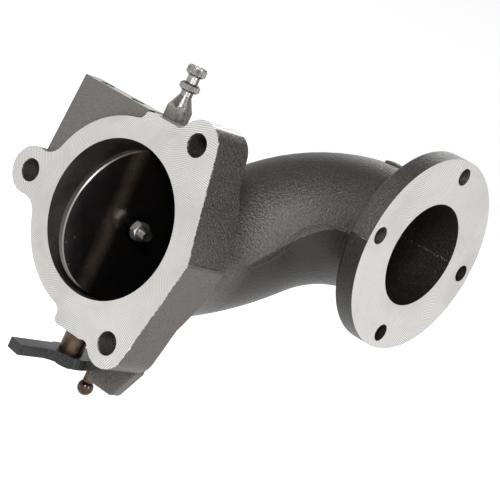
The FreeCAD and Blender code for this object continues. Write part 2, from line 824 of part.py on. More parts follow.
def butterfly_disc():
    """Round plate with bevelled rim, bolted to the shaft's milled seat."""
    radius = size("disc_radius")
    thick = size("disc_thickness")
    bevel = size("disc_edge_chamfer")
    outline = [
        (0, 0),
        (radius - bevel, 0),
        (radius, bevel),
        (radius, thick - bevel),
        (radius - bevel, thick),
        (0, thick),
    ]
    profile = sketch_of("disc_profile", profile_lines(outline), FRONT_PLANE)
    plate = doc.addObject("Part::Revolution", "disc_plate")
    plate.Source = profile
    plate.Axis = Vector(0, 0, 1)
    plate.Angle = 360
    plate.Solid = True
    stand_on_face(plate, size("disc_front_offset") - thick)
    bolt = flat_cylinder("disc_bolt_hole", "disc_bolt_radius + disc_bolt_clearance", "4 * disc_thickness",
                         size("disc_front_offset") - 2 * thick)
    holes = fuse("disc_cuts", [bolt] + dowel_holes("disc"))
    return keep(cut("disc", plate, holes), "butterfly_disc")


def flat_hexagon(name, height, offset):
    """A hexagon along the disc normal, with one corner straight up."""
    item = doc.addObject("Part::Prism", name)
    item.Polygon = 6
    bind(item, "Circumradius", "disc_nut_flats / sqrt(3)")
    bind(item, "Height", height)
    stand_on_face(item, offset)
    item.Placement = item.Placement.multiply(Placement(Vector(0, 0, 0), Rotation(Vector(0, 0, 1), 30)))
    return item


def disc_fasteners():
    """Through bolt, washers and nut that clamp the disc, and its dowels."""
    front = size("disc_front_offset")
    spring_base = front + size("disc_washer_thickness")
    nut_base = spring_base + size("lock_washer_thickness")
    head_top = spot_face_height()
    bolt_end = nut_base + size("disc_nut_height") + size("disc_bolt_proud")
    hole = "disc_bolt_radius + disc_bolt_clearance"

    shank = flat_cylinder("bolt_shank", "disc_bolt_radius", str(bolt_end - head_top), head_top)
    head = flat_hexagon("bolt_head", "disc_bolt_head_height", head_top - size("disc_bolt_head_height"))
    keep(fuse("bolt", [head, shank]), "disc_bolt")

    ring = flat_cylinder("washer_blank", "disc_washer_radius", "disc_washer_thickness", front)
    ring_hole = flat_cylinder("washer_hole", hole, "3 * disc_washer_thickness",
                              front - size("disc_washer_thickness"))
    keep(cut("washer", ring, ring_hole), "disc_washer")

    spring = flat_cylinder("spring_blank", "lock_washer_radius", "lock_washer_thickness", spring_base)
    spring_hole = flat_cylinder("spring_hole", hole, "3 * lock_washer_thickness",
                                spring_base - size("lock_washer_thickness"))
    slot = doc.addObject("Part::Box", "spring_slot")
    bind(slot, "Length", "2 * lock_washer_radius")
    bind(slot, "Width", "lock_washer_slot")
    bind(slot, "Height", "3 * lock_washer_thickness")
    corner = Vector(0, -size("lock_washer_slot") / 2, spring_base - size("lock_washer_thickness"))
    slot.Placement = face_frame().multiply(Placement(corner, Rotation()))
    keep(cut("spring", spring, fuse("spring_cuts", [spring_hole, slot])), "disc_lock_washer")

    nut = flat_hexagon("nut_blank", "disc_nut_height", nut_base)
    thread = flat_cylinder("nut_hole", f"disc_bolt_radius + {FIT_GAP}", "3 * disc_nut_height",
                           nut_base - size("disc_nut_height"))
    keep(cut("nut", nut, thread), "disc_nut")

    base = front - size("disc_thickness") - size("dowel_length") + size("dowel_reach")
    group = doc.addObject("Part::Compound", "dowels")
    group.Links = [
        flat_cylinder(f"dowel_{index}", f"dowel_radius - {FIT_GAP}", "dowel_length", base,
                      shift_z=sign * size("dowel_spacing") / 2)
        for index, sign in enumerate((-1, 1))
    ]
    keep(group, "disc_dowel_pins")


def thrust_washer():
    keep(tube("thrust", "shaft_radius + thrust_washer_land", f"journal_radius + {FIT_GAP}",
              "thrust_washer_thickness", WASHER_Z), "thrust_washer")


def lever_outline():
    """Hub, forward arm with a slanted end and short rear arm, as one closed outline."""
    hub = Vector(0, size("shaft_y"), 0)
    radius = size("lever_hub_radius")
    left = -size("lever_arm_left")
    right = size("lever_arm_right")
    front = size("shaft_y") - size("lever_arm_reach")
    blend = size("lever_arm_blend")
    tail = Vector(0, value(STUD_Y), 0)
    tail_radius = size("rear_arm_radius")

    blend_drop = math.sqrt((radius + blend) ** 2 - (right + blend) ** 2)
    blend_centre = Vector(right + blend, hub.y - blend_drop, 0)
    arm_end = Vector(right, blend_centre.y, 0)
    hub_blend = hub + unit(blend_centre - hub) * radius
    blend_middle = blend_centre + unit((arm_end - blend_centre) + (hub_blend - blend_centre)) * blend
    hub_left = Vector(left, hub.y - math.sqrt(radius ** 2 - left ** 2), 0)
    corner_left = Vector(left, front + size("lever_arm_slant"), 0)
    corner_right = Vector(right, front, 0)

    hub_leave, tail_reach = tangent_line((hub, radius), (tail, tail_radius))
    tail_left = Vector(-abs(tail_reach.x), tail_reach.y, 0)
    tail_right = Vector(abs(tail_reach.x), tail_reach.y, 0)
    side_left = Vector(-abs(hub_leave.x), hub_leave.y, 0)
    side_right = Vector(abs(hub_leave.x), hub_leave.y, 0)
    hub_front = hub + unit((hub_blend - hub) + (side_right - hub)) * radius
    hub_west = hub + unit((hub_left - hub) + (side_left - hub)) * radius
    return [
        Part.LineSegment(corner_left, corner_right),
        Part.LineSegment(corner_right, arm_end),
        Part.Arc(arm_end, blend_middle, hub_blend),
        Part.Arc(hub_blend, hub_front, side_right),
        Part.LineSegment(side_right, tail_right),
        Part.Arc(tail_right, tail + Vector(0, tail_radius, 0), tail_left),
        Part.LineSegment(tail_left, side_left),
        Part.Arc(side_left, hub_west, hub_left),
        Part.LineSegment(hub_left, corner_left),
    ]


def operating_lever():
    profile = sketch_of("lever_profile", lever_outline(), LEVEL_PLANE)
    plate = extrude("lever_plate", profile, Vector(0, 0, 1), "lever_thickness", z=LEVER_Z)
    length = f"lever_thickness + {2 * OVERRUN}"
    bottom = f"{LEVER_Z} - {OVERRUN}"
    socket_round = cylinder("lever_bore", f"shaft_radius + {FIT_GAP}", length, x=SHAFT_X, y=SHAFT_Y, z=bottom)
    socket = cut("lever_socket", socket_round, fuse("lever_socket_flats", lever_flats("lever", FIT_GAP)))
    stud = cylinder("stud_hole", f"stud_thread_radius + {FIT_GAP}", length, x=SHAFT_X, y=STUD_Y, z=bottom)
    keep(cut("lever", plate, fuse("lever_holes", [socket, stud])), "operating_lever")


def retaining_ring():
    """Open ring in the groove below the lever."""
    base = f"{LEVER_Z} - ring_gap - ring_thickness"
    ring = tube("snap", "ring_outer_radius", f"shaft_radius - ring_groove_depth + {FIT_GAP}",
                "ring_thickness", base)
    mouth = block("ring_mouth", "ring_mouth_width", "2 * ring_outer_radius", f"ring_thickness + {2 * OVERRUN}",
                  x="-ring_mouth_width / 2", y="shaft_y", z=f"{base} - {OVERRUN}")
    keep(cut("open_ring", ring, mouth), "shaft_retaining_ring")


def ball_stud():
    """Ball, neck, collar and threaded shank, turned from one bar."""
    collar = size("stud_collar_thickness")
    drop = size("ball_drop")
    ball = size("ball_radius")
    neck = size("stud_neck_radius")
    thread = size("stud_thread_radius")
    top = value("lever_thickness + stud_washer_thickness + stud_nut_height + stud_proud")
    chamfer = size("stud_chamfer")
    meet = math.sqrt(ball ** 2 - neck ** 2)
    corners = [
        Vector(neck, meet - drop, 0),
        Vector(neck, -collar, 0),
        Vector(size("stud_collar_radius"), -collar, 0),
        Vector(size("stud_collar_radius"), 0, 0),
        Vector(thread, 0, 0),
        Vector(thread, top - chamfer, 0),
        Vector(thread - chamfer, top, 0),
        Vector(0, top, 0),
        Vector(0, -drop - ball, 0),
    ]
    edges = [Part.LineSegment(a, b) for a, b in zip(corners, corners[1:])]
    edges.append(Part.Arc(corners[-1], Vector(ball, -drop, 0), corners[0]))
    profile = sketch_of("stud_profile", edges, FRONT_PLANE)
    keep(revolve("stud", profile, x=SHAFT_X, y=STUD_Y, z=LEVER_Z), "ball_stud")

    ring = cylinder("stud_washer_blank", "stud_washer_radius", "stud_washer_thickness", x=SHAFT_X, y=STUD_Y,
                    z="-lever_top")
    hole = cylinder("stud_washer_hole", "stud_thread_radius + stud_washer_clearance",
                    "3 * stud_washer_thickness", x=SHAFT_X, y=STUD_Y, z="-lever_top - stud_washer_thickness")
    keep(cut("stud_ring", ring, hole), "ball_stud_washer")

    nut = hexagon("stud_nut_blank", "stud_nut_flats", "stud_nut_height", x=SHAFT_X, y=STUD_Y,
                  z="-lever_top + stud_washer_thickness")
    bore = cylinder("stud_nut_hole", f"stud_thread_radius + {FIT_GAP}", "3 * stud_nut_height", x=SHAFT_X,
                    y=STUD_Y, z="-lever_top")
    keep(cut("stud_nut", nut, bore), "ball_stud_nut")


def fitting_outline():
    """Half outline of the lubricator body, from its thread up to the stem in the cap."""
    corner_radius = size("fitting_across_flats") / math.sqrt(3)
    neck = size("fitting_neck_radius")
    collar = size("fitting_collar_radius")
    bevel = size("fitting_collar_bevel")
    thread = size("fitting_thread_radius") - FIT_GAP
    hole = size("fitting_passage_radius")
    stem = size("stem_radius")
    stem_foot = size("cap_bottom")
    stem_top = size("cap_top") - size("cap_roof")
    return [
        (hole, -size("fitting_thread_length")),
        (thread, -size("fitting_thread_length")),
        (thread, 0),
        (corner_radius, 0),
        (corner_radius, size("fitting_hex_height")),
        (neck, size("fitting_cone_top")),
        (neck, size("fitting_collar_bottom")),
        (collar - bevel, size("fitting_collar_bottom")),
        (collar, size("fitting_collar_bottom") + bevel),
        (collar, size("fitting_collar_top") - bevel),
        (collar - bevel, size("fitting_collar_top")),
        (neck, size("fitting_collar_top")),
        (neck, stem_foot),
        (stem, stem_foot),
        (stem, stem_top),
        (hole, stem_top),
    ]


def lubricator():
    """Hexagon-based fitting with a conical body, a gripped collar and a screwed cap."""
    profile = sketch_of("fitting_profile", profile_lines(fitting_outline()), FRONT_PLANE)
    turned = revolve("fitting_turned", profile, x=SHAFT_X, y=SHAFT_Y, z=BOSS_TOP)
    hexagon_bar = hexagon("fitting_hexagon", "fitting_across_flats", "fitting_cone_top", x=SHAFT_X, y=SHAFT_Y,
                          z=BOSS_TOP, turn=Rotation(Vector(0, 0, 1), size("fitting_turn")))
    upper = cylinder("fitting_upper", "fitting_across_flats", "cap_top", x=SHAFT_X, y=SHAFT_Y,
                     z=f"{BOSS_TOP} + (fitting_hex_height + fitting_cone_top) / 2")
    lower = cylinder("fitting_lower", "fitting_thread_radius", "2 * fitting_thread_length", x=SHAFT_X, y=SHAFT_Y,
                     z=f"{BOSS_TOP} - fitting_thread_length")
    body = doc.addObject("Part::MultiCommon", "fitting")
    body.Shapes = [turned, fuse("fitting_envelope", [hexagon_bar, upper, lower])]
    keep(body, "lubricator_body")

    radius = size("cap_radius")
    bevel = size("cap_bevel")
    bottom = size("cap_bottom")
    top = size("cap_top")
    rim = size("cap_rim_width")
    rim_depth = size("cap_rim_depth")
    bore = size("stem_radius") + FIT_GAP
    roof = top - size("cap_roof") + size("stem_end_gap")
    cap_outline = [
        (bore, bottom),
        (radius - bevel, bottom),
        (radius, bottom + bevel),
        (radius, top),
        (radius - rim, top),
        (radius - rim, top - rim_depth),
        (0, top - rim_depth),
        (0, roof),
        (bore, roof),
    ]
    cap_profile = sketch_of("cap_profile", profile_lines(cap_outline), FRONT_PLANE)
    keep(revolve("cap", cap_profile, x=SHAFT_X, y=SHAFT_Y, z=BOSS_TOP), "lubricator_cap")


def write_parts():
    """Check the whole document, then write one file per sub-part."""
    doc.recompute()
    faults = [item.Name for item in doc.Objects if {"Invalid", "Error"} & set(item.State)]
    faults += [item.Label for item in SUB_PARTS if item.Shape.isNull() or not item.Shape.isValid()]
    if faults:
        raise SystemExit(f"Objects in error: {faults}")
    os.makedirs("parts", exist_ok=True)
    for item in SUB_PARTS:
        item.Shape.exportStep(f"parts/{item.Label}.step")
        print(item.Label, len(item.Shape.Solids), round(item.Shape.Volume / 1000, 2))


housing_casting()
bushes_and_seal()
thrust_washer()
valve_shaft()
butterfly_disc()
disc_fasteners()
operating_lever()
retaining_ring()
ball_stud()
lubricator()
write_parts()
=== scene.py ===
import bpy
import bmesh
import json
import math
from mathutils import Matrix, Vector


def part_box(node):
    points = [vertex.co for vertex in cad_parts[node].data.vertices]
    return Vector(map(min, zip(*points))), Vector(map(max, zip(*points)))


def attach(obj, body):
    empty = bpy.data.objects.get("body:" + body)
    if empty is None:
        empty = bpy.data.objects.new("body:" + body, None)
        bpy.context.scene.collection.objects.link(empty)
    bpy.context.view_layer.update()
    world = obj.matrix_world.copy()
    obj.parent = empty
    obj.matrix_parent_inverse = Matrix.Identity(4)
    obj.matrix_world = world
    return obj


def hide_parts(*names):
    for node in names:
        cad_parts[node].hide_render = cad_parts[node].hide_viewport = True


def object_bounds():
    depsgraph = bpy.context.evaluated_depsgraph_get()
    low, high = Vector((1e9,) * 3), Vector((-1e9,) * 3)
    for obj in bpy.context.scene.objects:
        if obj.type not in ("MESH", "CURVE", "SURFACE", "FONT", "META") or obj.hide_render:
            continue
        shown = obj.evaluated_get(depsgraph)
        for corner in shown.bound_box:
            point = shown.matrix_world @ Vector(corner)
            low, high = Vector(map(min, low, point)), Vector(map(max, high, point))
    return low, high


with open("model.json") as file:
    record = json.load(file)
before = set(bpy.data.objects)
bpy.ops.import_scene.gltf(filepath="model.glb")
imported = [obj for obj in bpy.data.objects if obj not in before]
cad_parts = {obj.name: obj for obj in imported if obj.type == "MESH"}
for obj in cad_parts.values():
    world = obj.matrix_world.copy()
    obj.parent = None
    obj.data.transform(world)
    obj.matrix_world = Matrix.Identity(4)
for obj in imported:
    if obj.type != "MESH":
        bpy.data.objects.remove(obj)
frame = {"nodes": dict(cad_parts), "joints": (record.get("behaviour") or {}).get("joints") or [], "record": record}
cad_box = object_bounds()
record = frame["record"]
valve_joint = frame["joints"][0]

MM = 0.001


def place_of_mount(name):
    for mount in record["mounts"]:
        if mount["name"] == name:
            return Vector(mount["pos_m"])
    raise KeyError(name)


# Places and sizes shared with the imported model
SHAFT_AXIS = Vector(valve_joint["pos_m"])
PIPE_CENTRE = place_of_mount("pipe_flange_bolts")
PAD_TOP = place_of_mount("actuator_pad_face").z
PAD_STEP = 0.4 * MM
BOSS_TOP = PAD_TOP - PAD_STEP
BOSS_DEPTH_Y = 32.0 * MM
BORE_RADIUS = 45.0 * MM
THROAT_END_Y = 29.8 * MM
PIPE_BORE_RADIUS = 31.75 * MM
PIPE_FLANGE_RADIUS = 59.5 * MM
PIPE_FLANGE_BACK_X = 91.0 * MM
ELBOW_RADIUS = 38.85 * MM
ELBOW_CORNERS = (Vector((0.0, 0.0807, -0.0118)), Vector((0.0315, 0.1391, 0.0484)))
UP = Vector((0, 0, 1))

# Disc, its nut and its bolt, measured along the disc's normal from the shaft axis
DISC_LEAN = math.radians(10)
DISC_NORMAL = Vector((math.cos(DISC_LEAN), -math.sin(DISC_LEAN), 0.0))
DISC_WIDTH = Vector((math.sin(DISC_LEAN), math.cos(DISC_LEAN), 0.0))
DISC_RADIUS = 44.3 * MM
DISC_RIM_RADIUS = 43.6 * MM
DISC_NUT_BASE = 9.0 * MM
BOLT_RADIUS = 3.0 * MM
BOLT_THREAD_START = 14.4 * MM
BOLT_THREAD_LENGTH = 4.6 * MM
BOLT_THREAD_PITCH = 1.0 * MM
NUT_FLATS = 10.0 * MM
NUT_HEIGHT = 5.0 * MM
NUT_BEVEL = 0.35 * MM

# Lubricator: top of its hexagon, and each knurl as its bottom, top, root radius and tip radius
HEXAGON_TOP = BOSS_TOP + 6.9 * MM
COLLAR_KNURL = (81.3 * MM, 83.9 * MM, 5.52 * MM, 5.80 * MM)
CAP_KNURL = (90.2 * MM, 93.6 * MM, 5.32 * MM, 5.60 * MM)
KNURL_TEETH = 40

# Mould joint: it climbs from the valve flange to the pipe flange round a point inside the elbow
JOINT_PIVOT_X = 76.0 * MM
JOINT_PIVOT_Y = 68.0 * MM
JOINT_START_Z = 1.5 * MM
JOINT_RISE = 42.0 * MM
JOINT_CLIMB_POWER = 1.9
JOINT_DROP = math.radians(8.0)
ELBOW_BEAD = (0.75 * MM, 0.38 * MM)
FLANGE_BEAD = (0.55 * MM, 0.28 * MM)
RIM_BEAD_X = (PIPE_CENTRE.x - 11.0 * MM, PIPE_CENTRE.x - 0.4 * MM)
WALL_BEAD_Y = (0.6 * MM, 26.5 * MM)
WALL_BEAD_X = 61.25 * MM
WALL_BEAD_Z = 1.4 * MM
WALL_OUT = Vector((0.976, 0, 0.216)).normalized()
GATE_MARK_PLACE = (66.0 * MM, 137.5 * MM, 86.4 * MM)
GATE_MARK_HALF_SIZES = (8.5 * MM, 4.5 * MM, 2.0 * MM)


# Camera, at the photograph's viewing angle
CAMERA_PLACE = Vector((0.6141, -0.7335, 0.1615))
CAMERA_RIGHT = Vector((0.7033, 0.5761, 0.4166))
CAMERA_UP = Vector((-0.4222, -0.1331, 0.8967))
CAMERA_LENS = 127.77
CAMERA_SENSOR = 36.0
CAMERA_NEAR = 0.05
CAMERA_FAR = 200.0


def add_camera():
    data = bpy.data.cameras.new("camera")
    data.sensor_width = CAMERA_SENSOR
    data.lens = CAMERA_LENS
    data.clip_start = CAMERA_NEAR
    data.clip_end = CAMERA_FAR
    camera = bpy.data.objects.new("camera", data)
    right = CAMERA_RIGHT.normalized()
    back = right.cross(CAMERA_UP).normalized()
    up = back.cross(right)
    turn = Matrix((right, up, back)).transposed().to_4x4()
    camera.matrix_world = Matrix.Translation(CAMERA_PLACE) @ turn
    bpy.context.scene.collection.objects.link(camera)
    bpy.context.scene.camera = camera


# Floor and light: a softly glowing white table, a room that is dimmer overhead, and three softboxes
TABLE_REACH = 60.0
TABLE_WHITE = 0.80
TABLE_GLOW = 0.73
ROOM_AT_HORIZON = 1.0
ROOM_OVERHEAD = 0.12
OVERHEAD_FROM = 0.8
LIGHT_TARGET = Vector((0.02, 0.07, 0.0))
SOFTBOXES = (
    {"name": "front", "place": (0.60, -0.95, 0.58), "width": 0.28, "power": 12},
    {"name": "right", "place": (1.35, -0.15, 0.40), "width": 0.45, "power": 8},
    {"name": "back", "place": (-0.7, 1.3, 0.9), "width": 0.60, "power": 5},
)


def add_floor(height):
    mesh = bpy.data.meshes.new("floor")
    shape = bmesh.new()
    bmesh.ops.create_grid(shape, x_segments=1, y_segments=1, size=TABLE_REACH)
    bmesh.ops.translate(shape, verts=shape.verts, vec=(0, 0, height))
    shape.to_mesh(mesh)
    shape.free()
    floor = bpy.data.objects.new("floor", mesh)
    bpy.context.scene.collection.objects.link(floor)
    table = bpy.data.materials.new("white_light_table")
    table.use_nodes = True
    shader = table.node_tree.nodes["Principled BSDF"]
    shader.inputs["Base Color"].default_value = (TABLE_WHITE, TABLE_WHITE, TABLE_WHITE, 1)
    shader.inputs["Roughness"].default_value = 0.9
    shader.inputs["Emission Color"].default_value = (1, 1, 1, 1)
    shader.inputs["Emission Strength"].default_value = TABLE_GLOW
    mesh.materials.append(table)


def add_softbox(name, place, width, power):
    data = bpy.data.lights.new(name, "AREA")
    data.shape = "SQUARE"
    data.size = width
    data.energy = power
    lamp = bpy.data.objects.new(name, data)
    lamp.location = place
    aim = LIGHT_TARGET - Vector(place)
    lamp.rotation_euler = aim.to_track_quat("-Z", "Y").to_euler()
    bpy.context.scene.collection.objects.link(lamp)


def add_room_light():
    """A white room that fades from the horizon to a dim ceiling."""
    world = bpy.data.worlds.new("studio")
    world.use_nodes = True
    nodes = world.node_tree.nodes
    links = world.node_tree.links
    place = nodes.new("ShaderNodeTexCoord")
    split = nodes.new("ShaderNodeSeparateXYZ")
    links.new(place.outputs["Generated"], split.inputs[0])
    fade = nodes.new("ShaderNodeMapRange")
    fade.inputs["From Min"].default_value = 0.0
    fade.inputs["From Max"].default_value = OVERHEAD_FROM
    fade.inputs["To Min"].default_value = ROOM_AT_HORIZON
    fade.inputs["To Max"].default_value = ROOM_OVERHEAD
    links.new(split.outputs[2], fade.inputs["Value"])
    links.new(fade.outputs[0], nodes["Background"].inputs["Strength"])
    nodes["Background"].inputs["Color"].default_value = (1, 1, 1, 1)
    bpy.context.scene.world = world


def add_light():
    add_room_light()
    for softbox in SOFTBOXES:
        add_softbox(**softbox)
    bpy.context.scene.view_settings.view_transform = "Standard"


# Material tools: a small graph writer for procedural finishes
SOCKETS = {
    "colour": "Base Color",
    "roughness": "Roughness",
    "metal": "Metallic",
    "normal": "Normal",
}

# Sockets of a Mix node by number, because it repeats their names for each kind of value
MIX_SHARE = 0
MIX_NUMBER_FIRST = 2
MIX_NUMBER_SECOND = 3
MIX_COLOUR_FIRST = 6
MIX_COLOUR_SECOND = 7
MIX_NUMBER_RESULT = 0
MIX_COLOUR_RESULT = 2


class Finish:
    """One procedural material, with its pattern read from object coordinates."""

    def __init__(self, name):
        self.material = bpy.data.materials.new(name)
        self.material.use_nodes = True
        self.nodes = self.material.node_tree.nodes
        self.links = self.material.node_tree.links
        self.shader = self.nodes["Principled BSDF"]
        source = self.nodes.new("ShaderNodeTexCoord")
        self.place = source.outputs["Object"]
        self.x, self.y, self.z = self.split(self.place)
        self.nx, self.ny, self.nz = self.split(source.outputs["Normal"])

    def split(self, vector):
        node = self.nodes.new("ShaderNodeSeparateXYZ")
        self.links.new(vector, node.inputs[0])
        return node.outputs

    def _feed(self, socket, value):
        """Set a socket to a constant, or link another node's output to it."""
        if isinstance(value, (int, float, tuple, list)):
            socket.default_value = value
        else:
            self.links.new(value, socket)

    def math(self, kind, first, second=0.0, third=0.0):
        node = self.nodes.new("ShaderNodeMath")
        node.operation = kind
        for socket, value in zip(node.inputs, (first, second, third)):
            self._feed(socket, value)
        return node.outputs[0]

    def add(self, *values):
        total = values[0]
        for value in values[1:]:
            total = self.math("ADD", total, value)
        return total

    def times(self, first, second):
        return self.math("MULTIPLY", first, second)

    def both(self, *values):
        """1 where every mask is 1."""
        total = values[0]
        for value in values[1:]:
            total = self.math("MINIMUM", total, value)
        return total

    def either(self, *values):
        """1 where any mask is 1."""
        total = values[0]
        for value in values[1:]:
            total = self.math("MAXIMUM", total, value)
        return total

    def below(self, value, limit):
        return self.math("LESS_THAN", value, limit)

    def above(self, value, limit):
        return self.math("GREATER_THAN", value, limit)

    def near(self, value, target, reach):
        """1 where the value lies within reach of the target."""
        away = self.math("ABSOLUTE", self.math("SUBTRACT", value, target))
        return self.below(away, reach)

    def noise(self, scale, detail=4.0, roughness=0.5, place=None, distortion=0.0):
        node = self.nodes.new("ShaderNodeTexNoise")
        node.inputs["Scale"].default_value = scale
        node.inputs["Detail"].default_value = detail
        node.inputs["Roughness"].default_value = roughness
        node.inputs["Distortion"].default_value = distortion
        self.links.new(place or self.place, node.inputs["Vector"])
        return node.outputs["Fac"]

    def cells(self, scale):
        node = self.nodes.new("ShaderNodeTexVoronoi")
        node.inputs["Scale"].default_value = scale
        self.links.new(self.place, node.inputs["Vector"])
        return node.outputs["Distance"]

    def stretched(self, along_x, along_y, along_z):
        node = self.nodes.new("ShaderNodeMapping")
        node.inputs["Scale"].default_value = (along_x, along_y, along_z)
        self.links.new(self.place, node.inputs["Vector"])
        return node.outputs[0]

    def remap(self, value, low, high, to_low, to_high):
        node = self.nodes.new("ShaderNodeMapRange")
        node.inputs["From Min"].default_value = low
        node.inputs["From Max"].default_value = high
        node.inputs["To Min"].default_value = to_low
        node.inputs["To Max"].default_value = to_high
        self._feed(node.inputs["Value"], value)
        return node.outputs[0]

    def mix(self, share, first, second):
        """A colour that goes from the first to the second."""
        node = self.nodes.new("ShaderNodeMix")
        node.data_type = "RGBA"
        self._feed(node.inputs[MIX_SHARE], share)
        self._feed(node.inputs[MIX_COLOUR_FIRST], self._colour(first))
        self._feed(node.inputs[MIX_COLOUR_SECOND], self._colour(second))
        return node.outputs[MIX_COLOUR_RESULT]

    @staticmethod
    def _colour(value):
        """Give a plain colour its fourth value, and leave anything else alone."""
        if isinstance(value, tuple) and len(value) == 3:
            return (*value, 1.0)
        return value

    def blend(self, share, first, second):
        """A number that goes from the first to the second."""
        node = self.nodes.new("ShaderNodeMix")
        node.data_type = "FLOAT"
        self._feed(node.inputs[MIX_SHARE], share)
        self._feed(node.inputs[MIX_NUMBER_FIRST], first)
        self._feed(node.inputs[MIX_NUMBER_SECOND], second)
        return node.outputs[MIX_NUMBER_RESULT]

    def radius_from(self, first, second, centre_first=0.0, centre_second=0.0):
        a = self.math("SUBTRACT", first, centre_first)
        b = self.math("SUBTRACT", second, centre_second)
        return self.math("SQRT", self.add(self.times(a, a), self.times(b, b)))

    def angle_about(self, first, second, centre_first=0.0, centre_second=0.0):
        a = self.math("SUBTRACT", first, centre_first)
        b = self.math("SUBTRACT", second, centre_second)
        return self.math("ARCTAN2", b, a)

    def bump(self, height, distance, strength=1.0):
        node = self.nodes.new("ShaderNodeBump")
        node.inputs["Distance"].default_value = distance
        self._feed(node.inputs["Strength"], strength)
        self._feed(node.inputs["Height"], height)
        return node.outputs[0]

    def set(self, **values):
        for key, value in values.items():
            self._feed(self.shader.inputs[SOCKETS[key]], self._colour(value))
        return self.material


# Casting: colours, grain scales per metre, and where each tone and the painted elbow shading begin
SKIN_DARK = (0.013, 0.011, 0.0095)
SKIN_DARK_HIGH = (0.084, 0.074, 0.065)
SKIN_LIGHT = (0.034, 0.030, 0.0265)
SKIN_LIGHT_HIGH = (0.115, 0.104, 0.094)
SKIN_CLOUD = (0.10, 0.094, 0.088)
SKIN_GLINT = (0.20, 0.19, 0.18)
ELBOW_SHADE = (0.012, 0.011, 0.010)
ELBOW_SHEEN = (0.14, 0.130, 0.122)
FRONT_TONE = (0.23, 0.213, 0.198)
FINE_GRAIN = 1250.0
COARSE_GRAIN = 760.0
GLINT_GRAIN = 2100.0
PIT_SCALE = 620.0
CLOUD_SCALE = 24.0
# Band along Y where the painted shade and painted sheen of the elbow fade in
ELBOW_SHADING_Y = (66.0 * MM, 80.0 * MM)
FRONT_TONE_Y = (1.0 * MM, 20.0 * MM)
SKIN_RELIEF = 0.46 * MM

MILLED_LOW = (0.25, 0.24, 0.225)
MILLED_HIGH = (0.72, 0.71, 0.69)
MILLED_DULL = (0.40, 0.385, 0.365)
MILLED_SPECK = (0.28, 0.27, 0.26)
FACE_REACH = 0.1 * MM
FACING = 0.9
RAGGED_EDGE = 1.3 * MM
PLAIN_BORE_EDGE = 1.0 * MM
VALVE_FACE_CUTS = 250.0
VALVE_FACE_SWEEP = 17.0
PIPE_FACE_CUTS = 210.0
PIPE_FACE_SWEEP = -22.0

BORE_LOW = (0.05, 0.047, 0.043)
BORE_HIGH = (0.11, 0.10, 0.095)
# Painted shade inside the pipe passage, and the sparks on it
PASSAGE_SHADE = (0.012, 0.011, 0.010)
PASSAGE_SPARK = (0.30, 0.28, 0.26)
PASSAGE_START_X = 56.0 * MM
INSIDE_REACH = 0.3 * MM
CORE_JOINT_REACH = 0.55 * MM

JOINT_WANDER = 0.5 * MM
NEVER_ZERO = 1e-9


def joint_height(f):
    """Height of the mould joint, which climbs round the inside of the elbow."""
    across = f.math("MAXIMUM", f.math("SUBTRACT", JOINT_PIVOT_X, f.x), 0.0)
    along = f.math("MAXIMUM", f.math("SUBTRACT", f.y, JOINT_PIVOT_Y), 0.0)
    reach = f.math("SQRT", f.add(f.times(across, across), f.times(along, along), NEVER_ZERO))
    climb = f.math("POWER", f.math("DIVIDE", along, reach), JOINT_CLIMB_POWER)
    wander = f.remap(f.noise(330.0, 2.0), 0.3, 0.7, -JOINT_WANDER, JOINT_WANDER)
    height = f.add(f.times(climb, JOINT_RISE), JOINT_START_Z)
    on_pipe_flange = f.above(f.x, PIPE_FLANGE_BACK_X)
    return f.add(f.blend(on_pipe_flange, height, PIPE_CENTRE.z), wander)


def cutter_marks(f, first, second, centre, count, sweep):
    """Milling marks that fan out from a bore, each bent a little with the radius."""
    radius = f.radius_from(first, second, *centre)
    angle = f.angle_about(first, second, *centre)
    bent = f.math("MULTIPLY_ADD", radius, sweep, angle)
    wobble = f.times(f.noise(45.0, 2.0), 0.06)
    depth = f.remap(f.noise(85.0, 3.0, 0.6), 0.35, 0.62, 0.15, 1.0)
    return f.times(f.math("SINE", f.times(f.add(bent, wobble), count)), depth)


def milled_masks(f):
    """Masks of the milled valve face, pipe face and top faces."""
    ragged = f.remap(f.noise(620.0, 3.0, 0.65), 0.44, 0.62, 0.0, RAGGED_EDGE)
    outside_bore = f.above(f.radius_from(f.x, f.z), BORE_RADIUS + PLAIN_BORE_EDGE)
    valve_front = f.both(f.below(f.y, FACE_REACH), f.below(f.ny, -FACING))
    valve_rim = f.both(f.below(f.y, ragged), outside_bore)
    pipe_front = f.both(f.above(f.x, PIPE_CENTRE.x - FACE_REACH), f.above(f.nx, FACING))
    upward = f.both(f.above(f.nz, FACING), f.below(f.y, BOSS_DEPTH_Y))
    tops = f.both(upward, f.above(f.z, BOSS_TOP - FACE_REACH))
    return f.either(valve_front, valve_rim), pipe_front, tops


